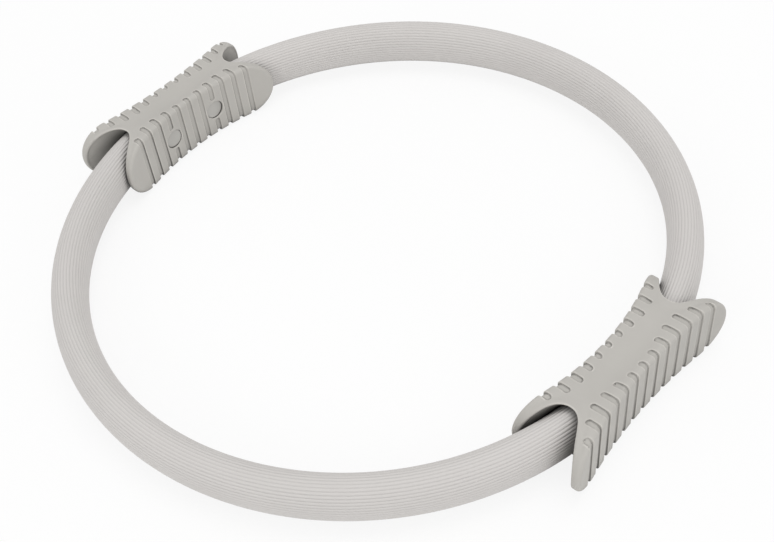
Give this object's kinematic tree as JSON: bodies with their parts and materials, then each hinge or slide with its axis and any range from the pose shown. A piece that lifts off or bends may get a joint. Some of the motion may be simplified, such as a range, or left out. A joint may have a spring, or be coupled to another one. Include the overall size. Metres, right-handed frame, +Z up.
{
  "type": "pilates ring",
  "caption": "Pilates resistance ring: sprung oval-tube hoop in ribbed sleeves, with waisted, finger-grooved hand grips opposite each other; squeezed between hands or thighs.",
  "frame": {"origin": "centre of the ring, at the height of the grips' lowest edges, on which the ring lies", "axes": "+X from the ring's centre through the middle of the right grip, +Y across the ring to the rear half hoop, +Z up out of the ring's plane"},
  "size_m": [0.384, 0.3804, 0.0386],
  "materials": {
    "sleeve": "warm light grey, satin, fine lengthwise ribs",
    "grip": "grey, matt, fine moulded grain",
    "plug": "grey, matt",
    "spring_band": "glass-fibre laminate, pale green-grey, satin",
    "splice": "black nylon, matt",
    "screw": "zinc-plated steel",
    "insert": "turned brass"
  },
  "bodies": {
    "left_grip_assembly": {"left_grip": "grip", "left_splice": "splice", "left_front_screw": "screw", "left_rear_screw": "screw", "left_front_insert": "insert", "left_rear_insert": "insert", "left_front_plug": "plug", "left_rear_plug": "plug", "front_sleeve": "sleeve", "rear_sleeve": "sleeve", "front_spring_band": "spring_band", "rear_spring_band": "spring_band"},
    "right_grip_assembly": {"right_grip": "grip", "right_splice": "splice", "right_front_screw": "screw", "right_rear_screw": "screw", "right_front_insert": "insert", "right_rear_insert": "insert", "right_front_plug": "plug", "right_rear_plug": "plug"}
  },
  "joints": [
    {"name": "squeeze", "type": "slide", "parent": "left_grip_assembly", "child": "right_grip_assembly", "axis": [-1, 0, 0], "range_m": [-0.02, 0.06], "stiffness_N_per_m": 1150, "deforming": ["front_sleeve", "rear_sleeve", "front_spring_band", "rear_spring_band"]}
  ]
}
